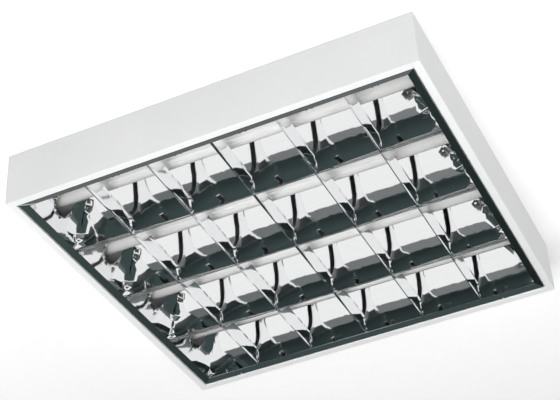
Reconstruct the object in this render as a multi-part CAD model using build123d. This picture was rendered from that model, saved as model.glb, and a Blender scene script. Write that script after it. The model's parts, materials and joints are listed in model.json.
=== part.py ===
from build123d import *
import math
import os

# A square-looking ceiling light with four tubular lamps and a bright parabolic louvre.
# X runs along the lamps, Y across them and Z up. The origin is the middle of the face that meets the
# ceiling. Front is -Y, rear is +Y (the hinge side), left is -X and right is +X.

# ---------------------------------------------------------------- driving dimensions, mm

# Sheet and housing
steel_sheet = 0.8
housing_width = 595.0
rim_width = 11.3
rim_lip = 5.2  # height of the lip that turns up from the rim's inner edge
fold_radius = 2.0  # outside radius of the folds at the top of the long walls
edge_radius = 0.6  # broken outer edges of the rim

# Lamps: tubes of 26 mm with two-pin caps
lamp_length = 589.8  # over the faces of the caps
lamp_level = 59.0  # axis above the underside of the rim
row_pitch = 142.0  # between long reflectors
tube_radius = 12.75
tube_wall = 0.8
tube_neck = 12.0
cap_radius = 12.9
cap_length = 8.9
cap_wall = 0.6
cap_end = 1.2
neck_clearance = 0.15
neck_depth = 6.0
pin_radius = 1.18
pin_spacing = 12.7
pin_length = 7.1
pin_collar = 1.9
collar_clearance = 0.1

# Lampholders
holder_gap = 0.3  # to the lamp's face
holder_depth = 13.7
holder_back_gap = 0.3  # to the end plate
holder_half = 12.0
holder_rise = 17.0  # lamp axis to the underside of the bracket
rotor_radius = 9.0
rotor_clearance = 0.3
rotor_depth = 7.9
rotor_slot = 2.8
rotor_back = 1.1
holder_slot = 3.4
holder_head = (7.0, 17.0, 6.2)  # the part above the bracket
holder_neck = (5.6, 15.0)  # the part that passes through the bracket
contact_cavity = 3.6
contact_radius = 8.0
contact_size = (3.4, 1.0, 6.0)
contact_offset = 4.5

# Brackets that carry the lampholders
channel_height = 10.2  # bracket web to the inside of the top
bracket_inboard = 19.2  # leg to the face of the lampholder
bracket_half = 275.0
bracket_flange = 14.0
bracket_back_gap = 0.6
lead_window = 22.0  # half width of the notch for the leads
stud_spread = 240.0

# End plates
end_flange = 12.0
end_flange_half = 280.0
rivet_radius = 1.6
rivet_head = 3.2
rivet_head_height = 1.0
rivet_spread = 180.0
hole_play = 0.05
same_place = 0.05  # an edge this near a place is the edge that lies there

# Louvre frame
louvre_gap = 1.2  # round the louvre
bevel_width = 12.0
bevel_low = 1.0
bevel_high = 5.0
frame_flange = 12.0  # top of the frame's flange above the rim's underside
frame_sheet = 0.6
frame_bend = 1.0
joint_gap = 0.05  # where two sheets butt

# Reflectors: each face is a parabola, throw = toe_slope * s + curve * s * s, s up from the bottom edge
reflector_height = 62.0
long_rise = 5.0  # the long reflectors stand this much higher than the others
toe_slope = 0.1
curve = 0.0065
reflector_sheet = 0.6
reflector_foot = 1.1  # half width of a long reflector's bottom edge
reflector_nose = 1.0  # rounding of that edge
trim_gap = 0.1
cut_over = 1.0  # how far a cutter runs past what it cuts

# Cross blades
blade_count = 5
blade_pitch = 97.5
blade_height = 28.0
blade_foot = 0.75
blade_top = 4.0
blade_waist = 1.0
blade_sheet = 0.4

# Notches for the lamps in the end reflectors
notch_radius = 18.0
notch_drop = 12.0  # from the lamp's axis to the middle of the round bottom
notch_mouth = 30.0
notch_flare = 2.0  # the flare starts this far below the lamp's axis

# Clips at the foot of the side reflectors
clip_width = 11.0
clip_height = 9.0
clip_leg = 2.6
clip_bridge = 2.2
clip_sheet = 0.8
clip_seat = 0.1

# Hinge
hinge_spread = 230.0
hinge_pin_radius = 0.9
hinge_pin_seat = 0.6  # from the pin to the frame's sheet
hinge_pin_length = 8.0
ear_sheet = 1.2
ear_ring = 1.9
ear_height = 10.0
ear_side_gap = 0.4
ear_clear = 0.2
lug_sheet = 0.8
lug_wing = 6.0
lug_depth = 4.2

# Spring catches
catch_spread = 200.0
catch_width = 20.0
catch_sheet = 0.5
catch_nose = 7.0
catch_nose_height = 3.6
catch_clear = 0.3
catch_window_play = 0.4

# Gear
cover_half = 22.0
cover_depth = 25.2
cover_flange = 12.0
cover_end_gap = 4.8
cover_stud_x = 150.0
ballast_length = 300.0
ballast_offset = -40.0
ballast_half = 19.5
ballast_base = 1.0
ballast_height = 20.0
ballast_wall = 1.0
ballast_ear = 9.0
ballast_ear_half = 7.0
terminal_length = 12.0
terminal_height = 13.0
board_sheet = 1.6
board_play = 0.4
board_drop = 4.0
coil_count = 5
coil_half = 9.0
capacitor_radius = 5.0
block_length = 36.0
block_half = 12.0
block_height = 16.0
block_from_ballast = 26.0
earth_from_block = 16.0
entry_from_earth = 24.0
block_pitch = 7.6
block_screw = 1.9
block_screw_depth = 2.0
screw_slot = 0.6
grommet_hole = 9.0
grommet_flange = 12.5
grommet_thickness = 3.0
grommet_bore = 5.0
earth_y = 8.0

# Fixing holes in the ceiling face
fixing_spacing_x = 400.0
fixing_spacing_y = 280.0
fixing_radius = 2.75

# Studs and nuts
stud_radius = 2.0
stud_length = 8.0
nut_flats = 7.0
nut_height = 3.0
stud_play = 0.2
thread_play = 0.05

# Leads
lead_radius = 1.0
lead_stack = 2.7
lead_lift = 3.1  # lowest lead above the bracket's web
inner_lane = 14.5
outer_lane = 18.0
inner_turn = 10.2  # lampholder head to the lane of the inner lamps
outer_turn = 15.2
lane_bend = 10.0
entry_bend = 4.0
mains_radius = 1.3
lead_entry = 3.2  # above the underside of the terminals
mains_dip = 2.0
mains_bend = 8.0
ring_radius = 4.2
ring_height = 0.8

# ---------------------------------------------------------------- derived places

ballast_low = ballast_offset - ballast_length / 2
ballast_high = ballast_offset + ballast_length / 2
block_x = (ballast_high + block_from_ballast, ballast_high + block_from_ballast + block_length)
earth_x = block_x[1] + earth_from_block
entry_x = earth_x + entry_from_earth
half_x = lamp_length / 2 + holder_gap + holder_depth + holder_back_gap + steel_sheet
half_y = housing_width / 2
web_level = lamp_level + holder_rise
inside_top = web_level + channel_height
housing_height = inside_top + steel_sheet
aperture_x = half_x - rim_width
aperture_y = half_y - rim_width
louvre_x = aperture_x - louvre_gap
louvre_y = aperture_y - louvre_gap
field_x = louvre_x - bevel_width
field_y = louvre_y - bevel_width
reflector_top = bevel_high + reflector_height
long_height = reflector_height + long_rise
long_top = bevel_high + long_height
holder_x = lamp_length / 2 + holder_gap
lamp_rows = [-(row_pitch + field_y) / 2, -row_pitch / 2, row_pitch / 2, (row_pitch + field_y) / 2]
reflector_rows = [-row_pitch, 0.0, row_pitch]
blade_places = [(i - (blade_count - 1) / 2) * blade_pitch for i in range(blade_count)]
ends = {"left": -1, "right": 1}
sides = {"front": -1, "rear": 1}


def throw(s):
    """How far a reflector's face leans in at a height s above its bottom edge."""
    return toe_slope * s + curve * s * s


def level(h):
    """Z of a height measured up from the underside of the rim."""
    return h - housing_height


def span(x, y, z):
    """A box between two limits on each axis."""
    size = [hi - lo for lo, hi in (x, y, z)]
    middle = [(hi + lo) / 2 for lo, hi in (x, y, z)]
    return Pos(*middle) * Box(*size)


def both(low, high, side):
    """Limits on the given side of the middle, in rising order."""
    return tuple(sorted((side * low, side * high)))


def rod(direction, centre, radius, low, high):
    """A round bar along X or Z, between two places on that axis."""
    middle, length = (low + high) / 2, high - low
    if direction == "X":
        return Pos(middle, centre[0], centre[1]) * Rot(0, 90, 0) * Cylinder(radius, length)
    return Pos(centre[0], centre[1], middle) * Cylinder(radius, length)


def shape(plane, curves, low, high):
    """A closed outline on a plane, drawn out between two places along the plane's normal axis."""
    face = plane * make_face(curves)
    solid = extrude(face, amount=(high - low) / 2, both=True)
    return solid


def along_x(curves, low, high):
    """An outline in Y and Z, drawn out along X."""
    return Pos((low + high) / 2, 0, 0) * shape(Plane.YZ, curves, low, high)


def along_y(curves, low, high):
    """An outline in X and Z, drawn out along Y."""
    return Pos(0, (low + high) / 2, 0) * shape(Plane.XZ, curves, low, high)


def parabola(start, side, offset=0.0, height=reflector_height):
    """The line of a reflector's face, from its bottom edge at start, leaning to the given side."""
    foot = start + side * offset
    z = level(bevel_high)
    return Bezier(
        (foot, z),
        (foot + side * toe_slope * height / 2, z + height / 2),
        (foot + side * throw(height), z + height),
    )


def face_sheet(start, side):
    """Outline of one concave sheet. Its bright face leans to side, its thickness lies behind it."""
    front = parabola(start, side)
    back = parabola(start, side, -reflector_sheet)
    return [front, Line(front @ 1, back @ 1), back, Line(back @ 0, front @ 0)]


def filled_v(centre, swell):
    """Outline of a long reflector with its trough filled, swollen by a gap on each side."""
    right = parabola(centre, 1, reflector_foot + swell, long_height)
    left = parabola(centre, -1, reflector_foot + swell, long_height)
    return [left, Line(left @ 0, right @ 0), right, Line(right @ 1, left @ 1)]


def mitred(piece, side, lengthwise):
    """Cuts a piece of one side of the louvre along the vertical planes through its corners."""
    deep = bevel_width + throw(reflector_height) + rim_width
    along, across = (louvre_x, louvre_y) if lengthwise else (louvre_y, louvre_x)
    plan = [
        (-along, side * across),
        (along, side * across),
        (along - deep, side * (across - deep)),
        (deep - along, side * (across - deep)),
    ]
    if not lengthwise:
        plan = [(v, u) for u, v in plan]
    wedge = extrude(make_face(Polyline(*plan, close=True)), amount=housing_height, both=True)
    return piece & wedge


# ---------------------------------------------------------------- hinge axis

# The pin lies in the fold between the rear strip and its flange, touching neither.
bevel_rise = bevel_high - bevel_low
bevel_run = math.hypot(bevel_width, bevel_rise)
sheet_rise = frame_sheet * bevel_run / bevel_width
pin_stand = hinge_pin_radius + hinge_pin_seat
hinge_y = louvre_y - frame_sheet - pin_stand
hinge_level = (
    bevel_low
    + (louvre_y - hinge_y) * bevel_rise / bevel_width
    + sheet_rise
    + pin_stand * bevel_run / bevel_width
)

nodes = {}

# ---------------------------------------------------------------- housing


def housing_body():
    end = half_x - steel_sheet
    wall = half_y - steel_sheet
    body = span((-end, end), (-half_y, half_y), (-steel_sheet, 0))
    for side in sides.values():
        body += span((-end, end), both(wall, half_y, side), (level(0), 0))
        body += span(
            (-aperture_x, aperture_x), both(aperture_y, half_y, side), (level(0), level(steel_sheet))
        )
        body += span(
            (-aperture_x, aperture_x),
            both(aperture_y, aperture_y + steel_sheet, side),
            (level(0), level(steel_sheet + rim_lip)),
        )
    long_edges = body.edges().filter_by(Axis.X)
    top = long_edges.filter_by(lambda e: abs(e.center().Z) < same_place)
    body = fillet(top.filter_by(lambda e: abs(abs(e.center().Y) - half_y) < same_place), fold_radius)
    long_edges = body.edges().filter_by(Axis.X)
    low = long_edges.filter_by(lambda e: abs(e.center().Z - level(0)) < same_place)
    body = fillet(low.filter_by(lambda e: abs(abs(e.center().Y) - aperture_y) < same_place), edge_radius)
    for x in (-fixing_spacing_x / 2, fixing_spacing_x / 2):
        for y in (-fixing_spacing_y / 2, fixing_spacing_y / 2):
            body -= rod("Z", (x, y), fixing_radius, -2 * steel_sheet, steel_sheet)
    body -= rod("Z", (entry_x, 0), grommet_hole, -2 * steel_sheet, steel_sheet)
    for x, y in rivet_places():
        body -= rod("Z", (x, y), rivet_radius + hole_play, -2 * steel_sheet, steel_sheet)
    return body


def rivet_places():
    x = half_x - steel_sheet - end_flange / 2
    return [(s * x, y) for s in ends.values() for y in (-rivet_spread, 0.0, rivet_spread)]


def end_plate(side):
    inner = half_x - steel_sheet
    plate = span(both(inner, half_x, side), (-half_y, half_y), (level(0), 0))
    plate += span(
        both(inner - end_flange, inner, side),
        (-end_flange_half, end_flange_half),
        (-2 * steel_sheet, -steel_sheet),
    )
    rim_half = half_y - steel_sheet
    plate += span(both(aperture_x, half_x, side), (-rim_half, rim_half), (level(0), level(steel_sheet)))
    lip_half = aperture_y + steel_sheet
    plate += span(
        both(aperture_x, aperture_x + steel_sheet, side),
        (-lip_half, lip_half),
        (level(0), level(steel_sheet + rim_lip)),
    )
    low = plate.edges().filter_by(Axis.Y).filter_by(lambda e: abs(e.center().Z - level(0)) < same_place)
    plate = fillet(low.filter_by(lambda e: abs(abs(e.center().X) - aperture_x) < same_place), edge_radius)
    for x, y in rivet_places():
        if x * side > 0:
            plate -= rod("Z", (x, y), rivet_radius + hole_play, -3 * steel_sheet, 0)
    return plate


nodes["housing_body"] = housing_body()
for name, side in ends.items():
    nodes[f"end_plate_{name}"] = end_plate(side)

# Rivets: flush with the ceiling face, heads under the flange
nodes["end_plate_rivets"] = [
    rod("Z", place, rivet_radius, -2 * steel_sheet, 0)
    + rod("Z", place, rivet_head, -2 * steel_sheet - rivet_head_height, -2 * steel_sheet)
    for place in rivet_places()
]

# ---------------------------------------------------------------- lampholder brackets

leg_x = holder_x - bracket_inboard
web_end = half_x - steel_sheet - bracket_back_gap
flange_middle = leg_x - bracket_flange / 2
bracket_studs = [(s * flange_middle, y) for s in ends.values() for y in (-stud_spread, stud_spread)]
bracket_studs += [(s * flange_middle, y) for s in ends.values() for y in (-row_pitch, row_pitch)]
head_x = holder_x + (holder_depth - holder_head[0]) / 2
neck_x = holder_x + (holder_depth - holder_neck[0]) / 2


def bracket(side):
    length = (-bracket_half, bracket_half)
    channel = span(
        both(leg_x - bracket_flange, leg_x + steel_sheet, side),
        length,
        (level(inside_top - steel_sheet), level(inside_top)),
    )
    channel += span(both(leg_x, leg_x + steel_sheet, side), length, (level(web_level), level(inside_top)))
    channel += span(both(leg_x, web_end, side), length, (level(web_level), level(web_level + steel_sheet)))
    channel -= span(
        both(leg_x - bracket_flange - stud_play, leg_x + 2 * steel_sheet, side),
        (-lead_window, lead_window),
        (level(web_level + 2 * steel_sheet), level(inside_top) + steel_sheet),
    )
    for y in lamp_rows:
        half = holder_neck[1] / 2 + trim_gap
        channel -= span(
            both(neck_x - trim_gap, neck_x + holder_neck[0] + trim_gap, side),
            (y - half, y + half),
            (level(web_level - steel_sheet), level(web_level + 2 * steel_sheet)),
        )
    for x, y in bracket_studs:
        if x * side > 0:
            channel -= rod("Z", (x, y), stud_radius + stud_play, level(web_level), 0)
    return channel


for name, side in ends.items():
    nodes[f"lampholder_bracket_{name}"] = bracket(side)

# ---------------------------------------------------------------- lampholders


def lampholder(side, y):
    """A rotary holder: round at the foot, square above, with a bore for the rotor and a slot for the pins."""
    z = level(lamp_level)
    x = both(holder_x, holder_x + holder_depth, side)
    body = rod("X", (y, z), holder_half, *x)
    body += span(x, (y - holder_half, y + holder_half), (z, level(web_level)))
    neck = holder_neck[1] / 2
    body += span(
        both(neck_x, neck_x + holder_neck[0], side),
        (y - neck, y + neck),
        (level(web_level), level(web_level + steel_sheet + trim_gap)),
    )
    head = holder_head[1] / 2
    head_low = web_level + steel_sheet + joint_gap
    body += span(
        both(head_x, head_x + holder_head[0], side),
        (y - head, y + head),
        (level(head_low), level(head_low + holder_head[2])),
    )
    bore_end = holder_x + rotor_depth + rotor_clearance + holder_gap
    bore = both(holder_x - holder_gap, bore_end, side)
    body -= rod("X", (y, z), rotor_radius + rotor_clearance, *bore)
    body -= span(bore, (y - holder_slot / 2, y + holder_slot / 2), (z - 2 * holder_half, z))
    body -= rod("X", (y, z), contact_radius, *both(bore_end, bore_end + contact_cavity, side))
    return body


def contacts(side, y):
    """Two contact leaves behind the rotor, standing on the back of the holder."""
    z = level(lamp_level)
    back = holder_x + rotor_depth + rotor_clearance + holder_gap + contact_cavity
    length, thick, tall = contact_size
    return [
        span(
            both(back - length, back, side),
            (y + offset - thick / 2, y + offset + thick / 2),
            (z - tall / 2, z + tall / 2),
        )
        for offset in (-contact_offset, contact_offset)
    ]


for name, side in ends.items():
    nodes[f"lampholders_{name}"] = [lampholder(side, y) for y in lamp_rows]
nodes["holder_contacts"] = [
    leaf for side in ends.values() for y in lamp_rows for leaf in contacts(side, y)
]

# ---------------------------------------------------------------- lamps

cap_x = lamp_length / 2
tube_end = cap_x - cap_length
neck_end = tube_end + neck_depth


def lamp_tube(y):
    z = level(lamp_level)
    tube = rod("X", (y, z), tube_radius, -tube_end, tube_end)
    tube += rod("X", (y, z), tube_neck, -neck_end, neck_end)
    tube -= rod("X", (y, z), tube_neck - tube_wall, tube_wall - neck_end, neck_end - tube_wall)
    return tube


def lamp_cap(side, y):
    z = level(lamp_level)
    cap = rod("X", (y, z), cap_radius, *both(tube_end + joint_gap, cap_x, side))
    cup = both(tube_end, cap_x - cap_end, side)
    cap -= rod("X", (y, z), tube_neck + neck_clearance, *cup)
    for offset in (-pin_spacing / 2, pin_spacing / 2):
        hole = both(cap_x - 2 * cap_end, cap_x + cap_end, side)
        cap -= rod("X", (y + offset, z), pin_collar + collar_clearance, *hole)
    return cap


def lamp_pins(side, y):
    z = level(lamp_level)
    pins = []
    for offset in (-pin_spacing / 2, pin_spacing / 2):
        pin = rod("X", (y + offset, z), pin_radius, *both(cap_x - cap_end, cap_x + pin_length, side))
        pin += rod("X", (y + offset, z), pin_collar, *both(cap_x - cap_end, cap_x, side))
        pins.append(pin)
    return pins


def rotor(side, y):
    """The turning centre of a lampholder. Its slot holds the pins level when the lamp is locked."""
    z = level(lamp_level)
    start = holder_x + holder_gap
    end = start + rotor_depth
    disc = rod("X", (y, z), rotor_radius, *both(start, end, side))
    disc -= span(
        both(start - holder_gap, end - rotor_back, side),
        (y - 2 * rotor_radius, y + 2 * rotor_radius),
        (z - rotor_slot / 2, z + rotor_slot / 2),
    )
    return disc


for number, y in enumerate(lamp_rows, 1):
    nodes[f"lamp_{number}_tube"] = lamp_tube(y)
    nodes[f"lamp_{number}_caps"] = [lamp_cap(side, y) for side in ends.values()]
    nodes[f"lamp_{number}_pins"] = [pin for side in ends.values() for pin in lamp_pins(side, y)]
    nodes[f"lamp_{number}_rotors"] = [rotor(side, y) for side in ends.values()]

# ---------------------------------------------------------------- gear

cover_x = field_x - throw(reflector_height) - cover_end_gap
cover_rest = cover_half + cover_flange / 2
cover_studs = [(x, s * cover_rest) for x in (-cover_stud_x, cover_stud_x) for s in (-1, 1)]
ballast_studs = [(ballast_low - ballast_ear / 2, 0.0), (ballast_high + ballast_ear / 2, 0.0)]


def gear_cover():
    low, high = level(inside_top - cover_depth), level(inside_top)
    length = (-cover_x, cover_x)
    cover = span(length, (-cover_half, cover_half), (low, low + steel_sheet))
    for side in sides.values():
        cover += span(length, both(cover_half - steel_sheet, cover_half, side), (low, high))
        flange = both(cover_half - steel_sheet, cover_half + cover_flange, side)
        cover += span(length, flange, (high - steel_sheet, high))
    for x, y in cover_studs:
        cover -= rod("Z", (x, y), stud_radius + stud_play, level(web_level), 0)
    return cover


def ballast_plate():
    top = level(inside_top)
    plate = span((ballast_low, ballast_high), (-ballast_half, ballast_half), (top - ballast_base, top))
    ear = (ballast_low - ballast_ear, ballast_high + ballast_ear)
    plate += span(ear, (-ballast_ear_half, ballast_ear_half), (top - ballast_base, top))
    for place in ballast_studs:
        plate -= rod("Z", place, stud_radius + stud_play, top - 2 * ballast_base, top + ballast_base)
    return plate


case_top = level(inside_top - ballast_base)
case_low = case_top - ballast_height
case_x = (ballast_low + terminal_length, ballast_high - terminal_length)
case_inside = (case_x[0] + ballast_wall, case_x[1] - ballast_wall)
case_inner_half = ballast_half - ballast_wall


def ballast_case():
    case = span(case_x, (-ballast_half, ballast_half), (case_low, case_top))
    case = fillet(
        case.edges().filter_by(Axis.X).filter_by(lambda e: e.center().Z < (case_low + case_top) / 2),
        fold_radius,
    )
    room = (case_low + ballast_wall, case_top + cut_over)
    case -= span(case_inside, (-case_inner_half, case_inner_half), room)
    return case


def ballast_board():
    """The circuit board with its coils, capacitors and transistors, hung from the base on posts."""
    half = case_inner_half - board_play
    x = (case_inside[0] + board_play, case_inside[1] - board_play)
    top = case_top - board_drop
    board = span(x, (-half, half), (top - board_sheet, top))
    post = case_inside[1] - 4 * board_play - board_drop
    middle = (x[0] + x[1]) / 2
    for place in ((-post + 2 * middle, 0), (middle, 0), (post, 0)):
        board += rod("Z", place, stud_radius, top, case_top)
    low = case_low + ballast_wall + board_play
    step = (x[1] - x[0]) / (coil_count + 1)
    for number in range(1, coil_count + 1):
        at = x[0] + number * step
        board += span((at - coil_half, at + coil_half), (-coil_half, coil_half), (low, top - board_sheet))
        board += rod("Z", (at + step / 2, half / 2), capacitor_radius, low, top - board_sheet)
    return board


def ballast_terminal(side):
    """A row of push-in terminals at one end of the ballast."""
    outer = ballast_high if side > 0 else ballast_low
    inner = outer - side * terminal_length
    x = tuple(sorted((outer, inner)))
    block = span(x, (-ballast_half, ballast_half), (case_top - terminal_height, case_top))
    slots = span(
        tuple(sorted((outer, outer - side * terminal_length / 2))),
        (-ballast_half + 2 * ballast_wall, ballast_half - 2 * ballast_wall),
        (case_top - terminal_height, case_top - terminal_height + ballast_wall),
    )
    return block - slots


block_z = (level(inside_top - block_height), level(inside_top))
pole_rows = (-block_pitch, 0.0, block_pitch)
screw_columns = (block_x[0] + block_length / 4, block_x[1] - block_length / 4)


def mains_block():
    block = span(block_x, (-block_half, block_half), block_z)
    bore = (block_z[0] - cut_over, block_z[0] + 2 * block_screw_depth)
    for y in pole_rows:
        for x in screw_columns:
            block -= rod("Z", (x, y), block_screw + hole_play, *bore)
    return block


def slotted_screw(x, y):
    low = block_z[0] + block_screw_depth / 2
    screw = rod("Z", (x, y), block_screw, low, block_z[0] + 2 * block_screw_depth)
    across = (x - block_screw, x + block_screw)
    return screw - span(across, (y - screw_slot / 2, y + screw_slot / 2), (low, low + screw_slot))


nodes["gear_cover"] = gear_cover()
nodes["ballast_base"] = ballast_plate()
nodes["ballast_case"] = ballast_case()
nodes["ballast_board"] = ballast_board()
nodes["ballast_terminals"] = [ballast_terminal(-1), ballast_terminal(1)]
nodes["mains_terminal_block"] = mains_block()
nodes["terminal_screws"] = [slotted_screw(x, y) for y in pole_rows for x in screw_columns]

# Rubber grommet in the cable entry, flush with the ceiling face
under_top = level(inside_top)
nodes["cable_grommet"] = (
    rod("Z", (entry_x, 0), grommet_hole - joint_gap, under_top, 0)
    + rod("Z", (entry_x, 0), grommet_flange, under_top - grommet_thickness, under_top)
    - rod("Z", (entry_x, 0), grommet_bore, under_top - 2 * grommet_thickness, steel_sheet)
)

# ---------------------------------------------------------------- studs and nuts


def stud(place):
    return rod("Z", place, stud_radius, under_top - stud_length, under_top)


def nut(place, clamped):
    top = under_top - clamped
    hexagon = RegularPolygon(nut_flats / 2, 6, major_radius=False)
    body = Pos(place[0], place[1], top - nut_height) * extrude(hexagon, amount=nut_height)
    return body - rod("Z", place, stud_radius + thread_play, top - 2 * nut_height, top + nut_height)


earth_place = (earth_x, earth_y)
clamped_at = {place: steel_sheet for place in bracket_studs + cover_studs}
clamped_at.update({place: ballast_base for place in ballast_studs})
clamped_at[earth_place] = ring_height
nodes["weld_studs"] = [stud(place) for place in clamped_at]
nodes["stud_nuts"] = [nut(place, clamped) for place, clamped in clamped_at.items()]

# ---------------------------------------------------------------- leads


def lead(points, bends, radius):
    """A round lead along straight runs joined by tangent arcs."""
    path = FilletPolyline(*points, radius=bends)
    section = Plane(origin=path @ 0, z_dir=path % 0) * Circle(radius)
    return sweep(section, path=path)


def lamp_leads():
    """Two leads to each lampholder, from the nearer end of the ballast along the cover and the bracket."""
    found = []
    for side in ends.values():
        start = ballast_high if side > 0 else ballast_low
        for y in lamp_rows:
            inner = abs(y) < row_pitch
            lane = math.copysign(inner_lane if inner else outer_lane, y)
            turn = head_x - (inner_turn if inner else outer_turn)
            for layer in (0, 1):
                z = level(web_level + steel_sheet + lead_lift - lead_radius + layer * lead_stack)
                route = [
                    (start, lane, z),
                    (side * turn, lane, z),
                    (side * turn, y, z),
                    (side * head_x, y, z),
                ]
                found.append(lead(route, [lane_bend, entry_bend], lead_radius))
    return found


def mains_leads():
    """Three short leads from the mains terminals to the ballast."""
    found = []
    gap = block_x[0] - ballast_high
    high = case_top - terminal_height + lead_entry
    for y in pole_rows:
        route = [
            (ballast_high, y, high),
            (ballast_high + gap / 3, y, high),
            (block_x[0] - gap / 3, y, high - mains_dip),
            (block_x[0], y, high - mains_dip),
        ]
        found.append(lead(route, [mains_bend, mains_bend], mains_radius))
    return found


def earth_lead():
    """The earth lead from the terminal block, with its ring under the nut of the earth stud."""
    z = under_top - ring_height / 2 - mains_radius
    reach = block_x[1] + (earth_x - ring_radius - block_x[1]) / 2
    route = [(block_x[1], 0, z), (reach, 0, z), (earth_x - ring_radius, earth_y, z)]
    wire = lead([Vector(*p) for p in route], [mains_bend / 2], mains_radius)
    ring = rod("Z", earth_place, ring_radius, under_top - ring_height, under_top)
    hole = (under_top - 2 * ring_height, under_top + ring_height)
    ring -= rod("Z", earth_place, stud_radius + stud_play, *hole)
    clear = rod("Z", earth_place, ring_radius, under_top - 2 * stud_length, under_top - ring_height)
    return (wire - clear) + ring


nodes["lamp_leads"] = lamp_leads()
nodes["mains_leads"] = mains_leads()
nodes["earth_lead"] = earth_lead()

# ---------------------------------------------------------------- louvre frame


def strip_outline(edge, side):
    """A mirror strip: a bevel that rises from the rim to the cells, and a flange at its outer edge."""
    inner = edge - bevel_width + reflector_sheet + joint_gap
    inner_level = bevel_low + (edge - inner) * bevel_rise / bevel_width
    points = [
        (inner, inner_level),
        (edge, bevel_low),
        (edge, frame_flange),
        (edge - frame_sheet, frame_flange),
        (edge - frame_sheet, bevel_low + frame_sheet * bevel_rise / bevel_width + sheet_rise),
        (inner, inner_level + sheet_rise),
    ]
    return Polyline(*[(side * u, level(h)) for u, h in points], close=True)


def frame_strip(side, lengthwise):
    edge, half = (louvre_y, louvre_x) if lengthwise else (louvre_x, louvre_y)
    draw = along_x if lengthwise else along_y
    strip = draw(strip_outline(edge, side), -half, half)
    long_edges = strip.edges().filter_by(Axis.X if lengthwise else Axis.Y)
    fold = long_edges.filter_by(lambda e: abs(e.center().Z - level(bevel_low)) < same_place)
    strip = fillet(fold, frame_bend)
    return mitred(strip, side, lengthwise)


def hinge_notch(x):
    """The gap in the rear strip that lets the fixed ear in and lets the louvre turn round it."""
    half = ear_sheet / 2 + ear_side_gap
    across = (hinge_y - ear_ring - ear_clear, louvre_y + louvre_gap / 2)
    return span((x - half, x + half), across, (level(0), level(frame_flange + cut_over)))


nose_level = (frame_flange + bevel_low) / 2
hinge_places = (-hinge_spread, hinge_spread)
catch_places = (-catch_spread, catch_spread)
front_strip = frame_strip(-1, True)
for x in catch_places:
    half = catch_nose / 2 + catch_window_play
    tall = catch_nose_height / 2 + catch_window_play
    front_strip -= span(
        (x - half, x + half),
        both(louvre_y - 2 * frame_sheet, louvre_y + frame_sheet, -1),
        (level(nose_level - tall), level(nose_level + tall)),
    )
rear_strip = frame_strip(1, True)
for x in hinge_places:
    rear_strip -= hinge_notch(x)
nodes["frame_strip_front"] = front_strip
nodes["frame_strip_rear"] = rear_strip
for name, side in ends.items():
    nodes[f"frame_strip_{name}"] = frame_strip(side, False)

# ---------------------------------------------------------------- reflectors

for name, side in sides.items():
    sheet = along_x(face_sheet(side * field_y, -side), -louvre_x, louvre_x)
    nodes[f"side_reflector_{name}"] = mitred(sheet, side, True)


def lamp_notch(y):
    """Clears the lamp when the louvre is up and as it swings down: round below, upright, then flared."""
    bottom = level(lamp_level - notch_drop)
    start = level(lamp_level - notch_flare)
    mouth_z = level(reflector_top + cut_over)
    outline = [
        (y - notch_radius, bottom),
        (y + notch_radius, bottom),
        (y + notch_radius, start),
        (y + notch_mouth, mouth_z),
        (y - notch_mouth, mouth_z),
        (y - notch_radius, start),
    ]
    notch = rod("X", (y, bottom), notch_radius, -louvre_x, louvre_x)
    return notch + along_x(Polyline(*outline, close=True), -louvre_x, louvre_x)


notches = [lamp_notch(y) for y in lamp_rows]
for name, side in ends.items():
    sheet = along_y(face_sheet(side * field_x, -side), -louvre_y, louvre_y)
    sheet = mitred(sheet, side, False)
    for notch in notches:
        sheet -= notch
    nodes[f"end_reflector_{name}"] = sheet


def end_trim(side):
    """All that lies beyond an end reflector's bright face, and straight up from its top edge."""
    face = parabola(side * (field_x - trim_gap), -side)
    out = side * (louvre_x + rim_width)
    corner = (face @ 1).X
    top, low = level(long_top + cut_over), level(bevel_high)
    return along_y(
        [
            face,
            Line(face @ 1, (corner, top)),
            Line((corner, top), (out, top)),
            Line((out, top), (out, low)),
            Line((out, low), face @ 0),
        ],
        -louvre_y,
        louvre_y,
    )


end_trims = [end_trim(side) for side in ends.values()]


def long_reflector(y):
    outside = filled_v(y, 0.0)
    body = along_x(outside, -field_x, field_x)
    hollow = filled_v(y, -reflector_sheet)
    body -= Pos(0, 0, reflector_sheet) * along_x(hollow, -field_x - cut_over, field_x + cut_over)
    long_edges = body.edges().filter_by(Axis.X)
    low = long_edges.filter_by(lambda e: abs(e.center().Z - level(bevel_high)) < same_place)
    body = fillet(low, reflector_nose)
    for trim in end_trims:
        body -= trim
    return body


for number, y in enumerate(reflector_rows, 1):
    nodes[f"long_reflector_{number}"] = long_reflector(y)

# ---------------------------------------------------------------- cross blades


def blade_line(centre, side, inset):
    z = level(bevel_high)
    return Bezier(
        (centre + side * (blade_foot - inset), z),
        (centre + side * (blade_foot + blade_waist / 2 - inset), z + blade_height / 2),
        (centre + side * (blade_top - inset), z + blade_height),
    )


def blade_outline(centre, inset):
    left = blade_line(centre, -1, inset)
    right = blade_line(centre, 1, inset)
    return [left, Line(left @ 0, right @ 0), right, Line(right @ 1, left @ 1)]


def side_trim(side):
    """All that lies beyond a side reflector's bright face."""
    face = parabola(side * (field_y - trim_gap), -side)
    out = side * (louvre_y + rim_width)
    top, low = level(reflector_top), level(bevel_high)
    return along_x(
        [face, Line(face @ 1, (out, top)), Line((out, top), (out, low)), Line((out, low), face @ 0)],
        -louvre_x,
        louvre_x,
    )


blade_trims = [along_x(filled_v(y, trim_gap), -louvre_x, louvre_x) for y in reflector_rows]
blade_trims += [side_trim(side) for side in sides.values()]


def cross_blade(x):
    blade = along_y(blade_outline(x, 0.0), -field_y, field_y)
    reach = field_y + cut_over
    blade -= Pos(0, 0, blade_sheet) * along_y(blade_outline(x, blade_sheet), -reach, reach)
    for trim in blade_trims:
        blade -= trim
    return blade


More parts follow.
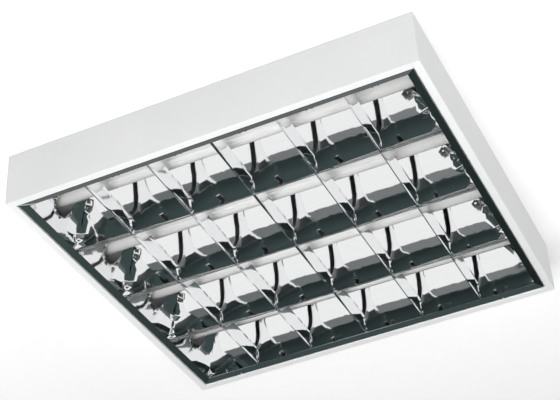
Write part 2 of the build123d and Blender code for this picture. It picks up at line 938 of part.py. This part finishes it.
for number, x in enumerate(blade_places, 1):
    nodes[f"cross_blade_{number}"] = cross_blade(x)

# ---------------------------------------------------------------- small pieces of the louvre

cell_edges = [-field_x] + blade_places + [field_x]
cell_middles = [(low + high) / 2 for low, high in zip(cell_edges, cell_edges[1:])]


def reflector_clip(x, side):
    """A two-legged clip that holds a side reflector's foot, standing on its bright face."""
    top = bevel_high + clip_height
    lean = throw(clip_height)
    foot = side * (field_y - clip_seat)
    head = side * (field_y - clip_seat - lean)
    thick = -side * clip_sheet
    low = level(bevel_high)
    side_view = [(foot, low), (head, level(top)), (head + thick, level(top)), (foot + thick, low)]
    half = clip_width / 2
    clip = along_x(Polyline(*side_view, close=True), x - half, x + half)
    window = half - clip_leg
    return clip - span(
        (x - window, x + window),
        both(field_y - rim_width - lean, louvre_y, side),
        (level(0), level(top - clip_bridge)),
    )


nodes["reflector_clips"] = [reflector_clip(x, side) for side in sides.values() for x in cell_middles]


def hinge_ear(x):
    """Fixed ear: it stands on the rim, reaches over the lip and holds the hinge pin."""
    z = level(hinge_level)
    half = ear_sheet / 2
    foot = aperture_y + steel_sheet + ear_clear
    foot_end = half_y - 2 * steel_sheet
    top = level(ear_height)
    over = level(steel_sheet + rim_lip + ear_clear)
    outline = [
        (foot, level(steel_sheet)),
        (foot_end, level(steel_sheet)),
        (foot_end, top),
        (hinge_y - ear_ring, top),
        (hinge_y - ear_ring, z),
        (hinge_y + ear_ring, z),
        (hinge_y + ear_ring, over),
        (foot, over),
    ]
    ear = along_x(Polyline(*outline, close=True), x - half, x + half)
    ear += rod("X", (hinge_y, z), ear_ring, x - half, x + half)
    return ear - rod("X", (hinge_y, z), hinge_pin_radius + hole_play, x - ear_sheet, x + ear_sheet)


def hinge_lug(x, side):
    """Half of a lug: a cheek beside the ear that holds the pin, and a wing on the frame's flange."""
    z = level(hinge_level)
    wall = louvre_y - frame_sheet - joint_gap
    near = x + side * (ear_sheet / 2 + ear_side_gap)
    cheek = tuple(sorted((near, near + side * lug_sheet)))
    lift = joint_gap + sheet_rise
    deep = wall - lug_depth
    low = [bevel_low + (louvre_y - y) * bevel_rise / bevel_width + lift for y in (wall, deep)]
    top = level(frame_flange)
    outline = [(wall, level(low[0])), (wall, top), (deep, top), (deep, level(low[1]))]
    lug = along_x(Polyline(*outline, close=True), *cheek)
    wing = tuple(sorted((near, near + side * lug_wing)))
    wing_low = z + hinge_pin_radius + hinge_pin_seat
    lug += span(wing, (wall - lug_sheet, wall), (wing_low, top))
    bore = (cheek[0] - cut_over, cheek[1] + cut_over)
    return lug - rod("X", (hinge_y, z), hinge_pin_radius + hole_play, *bore)


def catch_spring(x):
    """A leaf on the inside of the front flange. Its round nose looks out through a window."""
    wall = louvre_y - frame_sheet - joint_gap
    half = catch_width / 2
    z = level(nose_level)
    low = level(bevel_low + bevel_rise / 2)
    leaf = span((x - half, x + half), both(wall - catch_sheet, wall, -1), (low, level(frame_flange)))
    tip = aperture_y - catch_clear
    nose_radius = catch_nose_height / 2
    nose = rod("X", (-(tip - nose_radius), z), nose_radius, x - catch_nose / 2, x + catch_nose / 2)
    keep = span((x - half, x + half), both(wall - catch_sheet, aperture_y, -1), (level(0), 0))
    return leaf + (nose & keep)


nodes["hinge_ears"] = [hinge_ear(x) for x in hinge_places]
nodes["hinge_lugs"] = [hinge_lug(x, side) for x in hinge_places for side in (-1, 1)]
pin_centre = (hinge_y, level(hinge_level))
pin_half = hinge_pin_length / 2
nodes["hinge_pins"] = [
    rod("X", pin_centre, hinge_pin_radius, x - pin_half, x + pin_half) for x in hinge_places
]
nodes["catch_springs"] = [catch_spring(x) for x in catch_places]

# ---------------------------------------------------------------- one file per node

os.makedirs("parts", exist_ok=True)
for name, solids in nodes.items():
    if not isinstance(solids, list):
        solids = [solids]
    pieces = [piece for solid in solids for piece in solid.solids()]
    export_step(Compound(children=pieces), f"parts/{name}.step")

print("lead bends: lamp", lane_bend, entry_bend, "mains", mains_bend, "earth", mains_bend / 2)
print("hinge axis y, z:", round(hinge_y, 3), round(level(hinge_level), 3))
print("housing", 2 * half_x, housing_width, round(housing_height, 3), "lamps at", lamp_rows)
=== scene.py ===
import json
import math

import bpy
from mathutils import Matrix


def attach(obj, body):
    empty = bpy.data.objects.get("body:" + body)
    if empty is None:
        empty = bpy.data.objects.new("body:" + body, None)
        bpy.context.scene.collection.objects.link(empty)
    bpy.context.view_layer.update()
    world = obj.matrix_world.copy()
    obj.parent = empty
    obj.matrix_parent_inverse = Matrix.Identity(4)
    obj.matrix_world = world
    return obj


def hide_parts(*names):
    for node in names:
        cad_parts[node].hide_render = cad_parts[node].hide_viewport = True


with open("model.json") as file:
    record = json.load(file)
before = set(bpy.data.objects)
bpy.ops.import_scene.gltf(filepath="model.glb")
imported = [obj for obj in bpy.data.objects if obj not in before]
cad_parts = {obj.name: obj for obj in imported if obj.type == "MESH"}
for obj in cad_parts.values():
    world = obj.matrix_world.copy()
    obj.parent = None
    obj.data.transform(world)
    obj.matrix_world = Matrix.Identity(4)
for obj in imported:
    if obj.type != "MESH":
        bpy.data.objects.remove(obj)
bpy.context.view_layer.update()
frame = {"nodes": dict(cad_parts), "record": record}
nodes = frame["nodes"]

ENDS = ("left", "right")
SIDES = ("front", "rear")
LAMPS = (1, 2, 3, 4)
ROWS = (-0.142, 0.0, 0.142)  # middles of the long reflectors
BLADES = (-0.195, -0.0975, 0.0, 0.0975, 0.195)  # middles of the cross blades


# ---------------------------------------------------------------- shader maths


class Signal:
    """A shader socket that can be used in a Python expression."""

    def __init__(self, finish, socket):
        self.finish = finish
        self.socket = socket

    def maths(self, operation, a, b):
        return self.finish.node("ShaderNodeMath", {"operation": operation}, {0: a, 1: b})

    def __add__(self, other):
        return self.maths("ADD", self, other)

    def __radd__(self, other):
        return self.maths("ADD", other, self)

    def __sub__(self, other):
        return self.maths("SUBTRACT", self, other)

    def __rsub__(self, other):
        return self.maths("SUBTRACT", other, self)

    def __mul__(self, other):
        return self.maths("MULTIPLY", self, other)

    def __rmul__(self, other):
        return self.maths("MULTIPLY", other, self)


class Tree:
    """A node tree that is written with Python expressions."""

    def __init__(self, tree):
        self.tree = tree

    def node(self, kind, settings=None, values=None, out=0):
        made = self.tree.nodes.new(kind)
        for key, value in (settings or {}).items():
            if key == "stops":
                ramp = made.color_ramp.elements
                while len(ramp) < len(value):
                    ramp.new(0.5)
                for stop, (place, colour) in zip(ramp, value):
                    stop.position = place
                    stop.color = (*colour, 1)
            else:
                setattr(made, key, value)
        for key, value in (values or {}).items():
            self.feed(made.inputs[key], value)
        return Signal(self, made.outputs[out])

    def feed(self, socket, value):
        if isinstance(value, Signal):
            self.tree.links.new(value.socket, socket)
        else:
            socket.default_value = value

    def ramp(self, signal, stops):
        return self.node("ShaderNodeValToRGB", {"stops": stops}, {"Fac": signal})

    def blend(self, mask, first, second):
        settings = {"data_type": "RGBA"}
        return self.node("ShaderNodeMix", settings, {0: mask, 6: first, 7: second}, out=2)

    def parts(self, vector):
        return [self.node("ShaderNodeSeparateXYZ", values={"Vector": vector}, out=axis) for axis in range(3)]


class Finish(Tree):
    """One material, built from its surface shader."""

    def __init__(self, name, **fixed):
        self.material = bpy.data.materials.new(name)
        self.material.use_nodes = True
        super().__init__(self.material.node_tree)
        self.shader = self.tree.nodes["Principled BSDF"]
        for socket, value in fixed.items():
            self.shader.inputs[socket.replace("_", " ")].default_value = value

    def place(self, stretch=(1, 1, 1)):
        here = self.node("ShaderNodeTexCoord", out=3)
        return self.node("ShaderNodeMapping", values={"Vector": here, "Scale": stretch})

    def noise(self, scale, detail=3.0, stretch=(1, 1, 1), roughness=0.5):
        where = self.place(stretch)
        values = {"Vector": where, "Scale": scale, "Detail": detail, "Roughness": roughness}
        return self.node("ShaderNodeTexNoise", values=values)

    def colour(self, signal):
        self.feed(self.shader.inputs["Base Color"], signal)

    def roughness(self, signal):
        self.feed(self.shader.inputs["Roughness"], signal)

    def bump(self, height, strength, distance):
        values = {"Height": height, "Strength": strength, "Distance": distance}
        self.feed(self.shader.inputs["Normal"], self.node("ShaderNodeBump", values=values))


# ---------------------------------------------------------------- finishes


def enamel(name, light, dark, grain=1400.0):
    """White stoved paint on sheet steel: a fine orange peel and a faint unevenness of colour."""
    paint = Finish(name, Specular_IOR_Level=0.4)
    cloud = paint.noise(9.0, 2.0)
    paint.colour(paint.ramp(cloud, [(0.3, dark), (0.7, light)]))
    paint.roughness(paint.noise(60.0) * 0.12 + 0.38)
    paint.bump(paint.noise(grain, 2.0), 0.12, 0.0002)
    return paint.material


def mirror_sheet(name, along, tint=(0.95, 0.955, 0.96), wave=0.015):
    """Bright anodised aluminium: fine rolling lines along the sheet and a slow ripple in what it mirrors."""
    metal = Finish(name, Metallic=1.0)
    stretch = [40.0, 40.0, 40.0]
    stretch["XYZ".index(along)] = 1.0
    lines = metal.noise(30.0, 2.0, tuple(stretch))
    darker = tuple(c * 0.97 for c in tint)
    metal.colour(metal.ramp(lines, [(0.35, darker), (0.65, tint)]))
    metal.roughness(lines * 0.04 + 0.03)
    metal.bump(metal.noise(5.0, 0.0), wave, 0.001)
    return metal.material


BAND_START, BAND_END = 0.262, 0.284  # from the lamp's middle to where the glass yellows near a cap


def lamp_glass():
    """Phosphor-coated glass, white right through, with a slightly yellow-grey band near each cap."""
    glass = Finish("lamp_glass", Coat_Weight=0.6, Coat_Roughness=0.06)
    along = glass.node("ShaderNodeSeparateXYZ", values={"Vector": glass.place()})
    far = glass.node("ShaderNodeMath", {"operation": "ABSOLUTE"}, {0: along})
    reach = {"Value": far, "From Min": BAND_START, "From Max": BAND_END}
    band = glass.node("ShaderNodeMapRange", values=reach)
    cloud = glass.noise(40.0, 2.0)
    coat = glass.ramp(cloud, [(0.3, (0.87, 0.87, 0.86)), (0.7, (0.9, 0.9, 0.895))])
    glass.colour(glass.blend(band * 0.5, coat, (0.62, 0.6, 0.55, 1)))
    glass.roughness(glass.noise(300.0) * 0.1 + 0.3)
    return glass.material


def brushed(name, light, dark, rough=0.32, around=(60, 1, 1), scale=40.0, metallic=1.0):
    """Plain metal with fine marks from rolling or turning."""
    metal = Finish(name, Metallic=metallic)
    marks = metal.noise(scale, 3.0, around)
    metal.colour(metal.ramp(marks, [(0.3, dark), (0.7, light)]))
    metal.roughness(marks * 0.15 + (rough - 0.07))
    metal.bump(marks, 0.15, 0.0001)
    return metal.material


def moulded(name, light, dark, rough=0.5, grain=700.0, speck=90.0):
    """Moulded plastic or rubber: a fine spark grain and a slight marbling."""
    plastic = Finish(name)
    plastic.colour(plastic.ramp(plastic.noise(speck, 3.0), [(0.3, dark), (0.7, light)]))
    plastic.roughness(plastic.noise(200.0) * 0.15 + (rough - 0.07))
    plastic.bump(plastic.noise(grain, 2.0), 0.25, 0.0001)
    return plastic.material


def circuit_board():
    """Green lacquered laminate with a woven ground and bright solder spots."""
    board = Finish("circuit_board")
    weave = board.node("ShaderNodeTexVoronoi", values={"Vector": board.place(), "Scale": 420.0})
    solder = board.node("ShaderNodeMapRange", values={"Value": weave, "From Min": 0.1, "From Max": 0.2})
    ground = board.ramp(board.noise(120.0), [(0.3, (0.09, 0.16, 0.07)), (0.7, (0.14, 0.22, 0.1))])
    board.colour(board.blend(solder, (0.6, 0.6, 0.58, 1), ground))
    board.roughness(board.noise(80.0) * 0.2 + 0.35)
    board.bump(weave, 0.2, 0.0002)
    return board.material


white_enamel = enamel("white_enamel", (0.87, 0.875, 0.875), (0.84, 0.845, 0.85))
# A slightly darker copy of the white enamel for the brackets and gear cover inside the box: the darker tone
# is painted shade.
shaded_inner_enamel = enamel("shaded_inner_enamel", (0.84, 0.85, 0.85), (0.8, 0.81, 0.815), 900.0)
mirror_lengthwise = mirror_sheet("mirror_lengthwise", "X")
mirror_crosswise = mirror_sheet("mirror_crosswise", "Y")
mirror_blade = mirror_sheet("mirror_blade", "Y")
mirror_strip = mirror_sheet("mirror_strip", "X", wave=0.01)
phosphor = lamp_glass()
cap_metal = brushed("cap_metal", (0.8, 0.8, 0.81), (0.7, 0.7, 0.71), 0.28)
zinc = brushed("zinc_plate", (0.66, 0.67, 0.69), (0.52, 0.53, 0.56), 0.38, (1, 1, 1), 120.0)
spring_steel = brushed("spring_steel", (0.6, 0.61, 0.62), (0.48, 0.49, 0.5), 0.25)
pin_brass = brushed("pin_brass", (0.8, 0.69, 0.42), (0.68, 0.57, 0.32), 0.25)
holder_plastic = moulded("holder_plastic", (0.86, 0.86, 0.84), (0.8, 0.8, 0.78))
rotor_plastic = moulded("rotor_plastic", (0.82, 0.82, 0.8), (0.74, 0.74, 0.72), 0.42)
terminal_plastic = moulded("terminal_plastic", (0.72, 0.73, 0.72), (0.64, 0.65, 0.64), 0.45)
rubber = moulded("grommet_rubber", (0.05, 0.05, 0.05), (0.025, 0.025, 0.027), 0.65, 400.0)
white_lead = moulded("white_lead", (0.82, 0.81, 0.78), (0.74, 0.73, 0.7), 0.45)
brown_lead = moulded("brown_lead", (0.2, 0.1, 0.06), (0.14, 0.07, 0.04), 0.45)
earth_lead = moulded("earth_lead", (0.26, 0.5, 0.1), (0.6, 0.55, 0.08), 0.45, 400.0, 160.0)
laminate = circuit_board()
sheet_back = brushed("sheet_back", (0.62, 0.63, 0.64), (0.52, 0.53, 0.54), 0.5, (1, 1, 1), 60.0)

worn = {
    "housing_body": white_enamel,
    "end_plate_left": white_enamel,
    "end_plate_right": white_enamel,
    "lampholder_bracket_left": shaded_inner_enamel,
    "lampholder_bracket_right": shaded_inner_enamel,
    "gear_cover": shaded_inner_enamel,
    "end_plate_rivets": zinc,
    "weld_studs": zinc,
    "stud_nuts": zinc,
    "hinge_ears": zinc,
    "hinge_lugs": spring_steel,
    "hinge_pins": spring_steel,
    "catch_springs": spring_steel,
    "ballast_base": zinc,
    "ballast_case": zinc,
    "terminal_screws": zinc,
    "reflector_clips": spring_steel,
    "holder_contacts": pin_brass,
    "lampholders_left": holder_plastic,
    "lampholders_right": holder_plastic,
    "ballast_terminals": terminal_plastic,
    "mains_terminal_block": terminal_plastic,
    "ballast_board": laminate,
    "cable_grommet": rubber,
    "lamp_leads": white_lead,
    "mains_leads": brown_lead,
    "earth_lead": earth_lead,
    "frame_strip_front": mirror_strip,
    "frame_strip_rear": mirror_strip,
    "frame_strip_left": mirror_crosswise,
    "frame_strip_right": mirror_crosswise,
}
for side in SIDES:
    worn[f"side_reflector_{side}"] = mirror_lengthwise
for end in ENDS:
    worn[f"end_reflector_{end}"] = mirror_crosswise
for number in (1, 2, 3):
    worn[f"long_reflector_{number}"] = mirror_lengthwise
for number in (1, 2, 3, 4, 5):
    worn[f"cross_blade_{number}"] = mirror_blade
for number in LAMPS:
    worn[f"lamp_{number}_tube"] = phosphor
    worn[f"lamp_{number}_caps"] = cap_metal
    worn[f"lamp_{number}_pins"] = pin_brass
    worn[f"lamp_{number}_rotors"] = rotor_plastic

for name, material in worn.items():
    nodes[name].data.materials.clear()
    nodes[name].data.materials.append(material)

# ---------------------------------------------------------------- rounded pieces, smoothly shaded

bodies = {name: body for body, names in frame["record"]["behaviour"]["bodies"].items() for name in names}


def alone(piece):
    """Selects one object and nothing else."""
    bpy.ops.object.select_all(action="DESELECT")
    piece.select_set(True)
    bpy.context.view_layer.objects.active = piece


def smoothed(name, angle=32.0):
    """A copy of a node whose curved faces are shaded as one surface."""
    alone(nodes[name])
    bpy.ops.object.duplicate()
    piece = bpy.context.view_layer.objects.active
    piece.name = f"finished_{name}"
    bpy.ops.object.mode_set(mode="EDIT")
    bpy.ops.mesh.select_all(action="SELECT")
    bpy.ops.mesh.remove_doubles(threshold=0.00001)
    bpy.ops.object.mode_set(mode="OBJECT")
    bpy.ops.object.shade_smooth_by_angle(angle=math.radians(angle))
    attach(piece, bodies[name])
    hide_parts(name)
    return piece


def dull_inside(piece, behind):
    """The reflectors' sheet is bright on one face only: the faces that look inwards are left as rolled."""
    piece.data.materials.append(sheet_back)
    for face in piece.data.polygons:
        if behind(face.center, face.normal):
            face.material_index = 1


def hidden_faces(name):
    """Tells the back of a reflector's sheet from its bright face."""
    if name.startswith("cross_blade"):
        middle = BLADES[int(name[-1]) - 1]
        return lambda centre, normal: (centre.x - middle) * normal.x < 0
    if name.startswith("long_reflector"):
        middle = ROWS[int(name[-1]) - 1]
        return lambda centre, normal: (centre.y - middle) * normal.y < 0
    if name.startswith("side_reflector"):
        return lambda centre, normal: centre.y * normal.y > 0
    return lambda centre, normal: centre.x * normal.x > 0


ROUND = ("side_reflector", "end_reflector", "long_reflector", "cross_blade", "lamp_", "cable_grommet")
ROUND += ("mains_leads", "earth_lead", "weld_studs", "end_plate_rivets", "hinge_pins", "catch_springs")
for name in worn:
    if name.startswith(ROUND):
        piece = smoothed(name)
        if "reflector_" in name or "blade_" in name:
            dull_inside(piece, hidden_faces(name))

# ---------------------------------------------------------------- ceiling, floor and light


def plane(name, size, place, turn=(0, 0, 0)):
    bpy.ops.object.select_all(action="DESELECT")
    bpy.ops.mesh.primitive_plane_add(size=size, location=place, rotation=[math.radians(a) for a in turn])
    made = bpy.context.view_layer.objects.active
    made.name = name
    return made


def seen_by_mirrors(tree):
    """1 for the camera and for what it sees in metal or glass, 0 once light has left a matt surface."""
    rays = tree.node("ShaderNodeLightPath") + tree.node("ShaderNodeLightPath", out=3)
    rays = rays + tree.node("ShaderNodeLightPath", out=6)
    bounced = tree.node("ShaderNodeLightPath", out="Diffuse Depth")
    direct = tree.node("ShaderNodeMath", {"operation": "LESS_THAN"}, {0: bounced, 1: 0.5})
    return rays * direct


def ceiling_finish():
    """White ceiling paint. Only the camera sees it, and only from below."""
    paint = Finish("ceiling_white", Roughness=1.0, Specular_IOR_Level=0.0, Emission_Strength=0.2)
    paint.colour(paint.ramp(paint.noise(30.0), [(0.3, (0.93, 0.93, 0.93)), (0.7, (0.95, 0.95, 0.95))]))
    camera_ray = paint.node("ShaderNodeLightPath")
    from_above = paint.node("ShaderNodeNewGeometry", out=6)
    clear = paint.node("ShaderNodeBsdfTransparent")
    solid = Signal(paint, paint.shader.outputs[0])
    mixed = paint.node("ShaderNodeMixShader", values={0: camera_ray * (1 - from_above), 1: clear, 2: solid})
    paint.feed(paint.tree.nodes["Material Output"].inputs["Surface"], mixed)
    return paint.material


def floor_finish():
    """Pale floor that shows white to the camera and in the metal, and lights the object no more for it."""
    pale = Finish("floor_pale", Roughness=0.8)
    tone = pale.ramp(pale.noise(3.0), [(0.3, (0.78, 0.78, 0.77)), (0.7, (0.82, 0.82, 0.81))])
    pale.colour(tone)
    glow = pale.node("ShaderNodeEmission", values={"Color": (1, 1, 1, 1), "Strength": 1.0})
    solid = Signal(pale, pale.shader.outputs[0])
    mixed = pale.node("ShaderNodeMixShader", values={0: seen_by_mirrors(pale) * 0.85, 1: solid, 2: glow})
    pale.feed(pale.tree.nodes["Material Output"].inputs["Surface"], mixed)
    return pale.material


CEILING_SIZE, CEILING_LEVEL = 12.0, 0.001
FLOOR_SIZE, FLOOR_LEVEL = 24.0, -4.0

ceiling = plane("ceiling", CEILING_SIZE, (0, 0, CEILING_LEVEL), (180, 0, 0))
ceiling.data.materials.append(ceiling_finish())
floor = plane("floor", FLOOR_SIZE, (0, 0, FLOOR_LEVEL))
floor.data.materials.append(floor_finish())

# Glow tones of the dark cards, chosen to suit the dark parts of the photo's mirrors: painted reflections for
# the metal
SLATE = (0.05, 0.07, 0.07)
CHARCOAL = (0.012, 0.018, 0.017)
GREY = (0.2, 0.21, 0.21)


def card(name, size, place, turn, axis, span, stops):
    """A card beside the light whose emission paints a graded dark glow, as a studio stands round bright
    metal. Only the metal shows it, as a painted reflection.
    """
    made = plane(name, 1.0, place, turn)
    made.scale = (*size, 1)
    alone(made)
    bpy.ops.object.transform_apply(location=True, rotation=True, scale=True)
    card_glow = Finish(name, Roughness=1.0, Specular_IOR_Level=0.0, Base_Color=(0, 0, 0, 1), Emission_Strength=1.0)
    along = card_glow.parts(card_glow.place())[axis] + card_glow.noise(1.2, 2.0) * 0.1
    level = card_glow.node("ShaderNodeMapRange", values={"Value": along, "From Min": span[0], "From Max": span[1]})
    # The emission colour is the painted reflection: a glow graded along one axis, which only the metal shows.
    card_glow.feed(card_glow.shader.inputs["Emission Color"], card_glow.ramp(level, stops))
    made.data.materials.append(card_glow.material)
    made.visible_camera = False
    made.visible_diffuse = False
    made.visible_shadow = False


ALONG_X, ALONG_Y, ALONG_Z = 0, 1, 2
UPRIGHT = (90, 0, 0)
LYING = (0, 0, 0)
rear_glow_tones = [(0.0, SLATE), (0.72, CHARCOAL), (1.0, GREY)]
low_glow_tones = [(0.0, GREY), (0.2, SLATE), (1.0, SLATE)]
front_glow_tones = [(0.0, SLATE), (0.4, GREY), (0.6, CHARCOAL)]
card("rear_card", (9, 3.2), (0, 1.8, -0.8), UPRIGHT, ALONG_Z, (-2.4, 0), rear_glow_tones)
card("low_card", (9, 3.5), (0, 0.05, -2.2), LYING, ALONG_Y, (-1.7, 1.8), low_glow_tones)
card("front_card", (6.6, 1.46), (0.3, -3, -0.73), UPRIGHT, ALONG_X, (-3, 3.6), front_glow_tones)


CENTRE = (0, 0, 0)


def softbox(name, place, size, power):
    """A soft light aimed at the middle of the ceiling box, left out of the metal's reflections."""
    light = bpy.data.lights.new(name, "AREA")
    light.shape = "RECTANGLE"
    light.size, light.size_y = size
    light.energy = power
    holder = bpy.data.objects.new(name, light)
    bpy.context.scene.collection.objects.link(holder)
    holder.location = place
    holder.visible_glossy = False
    gap = [b - a for a, b in zip(place, CENTRE)]
    flat = math.hypot(gap[0], gap[1])
    holder.rotation_euler = (math.atan2(flat, -gap[2]), 0, math.atan2(-gap[0], gap[1]))


softbox("main_light", (0, -1.4, -1.9), (1.8, 1.2), 50)
softbox("side_light", (2.4, -1.0, -0.6), (1.0, 1.0), 25)
softbox("rear_light", (-1.6, 2.0, 1.4), (1.0, 1.0), 60)
softbox("top_light", (0, 0, 1.8), (1.0, 1.0), 9)

world = bpy.data.worlds.new("studio")
bpy.context.scene.world = world
world.use_nodes = True
sky = Tree(world.node_tree)
towards = sky.parts(sky.node("ShaderNodeTexCoord"))
level = 0.28 + 0.05 * towards[0] - 0.06 * towards[1]
fill = sky.node("ShaderNodeCombineXYZ", values={0: level, 1: level, 2: level})
sky.feed(sky.tree.nodes["Background"].inputs["Color"], sky.blend(seen_by_mirrors(sky), fill, (1, 1, 1, 1)))

# ---------------------------------------------------------------- camera

lens = bpy.data.cameras.new("camera")
lens.sensor_fit = "HORIZONTAL"
lens.sensor_width = 36.0
lens.lens = 94.06
lens.clip_end = 50.0
camera = bpy.data.objects.new("camera", lens)
bpy.context.scene.collection.objects.link(camera)
camera.location = (0.67444, -1.63191, -1.34123)
camera.rotation_euler = [math.radians(a) for a in (127.4076, 2.9026, 25.2578)]
bpy.context.scene.camera = camera
bpy.context.scene.view_settings.view_transform = "Standard"
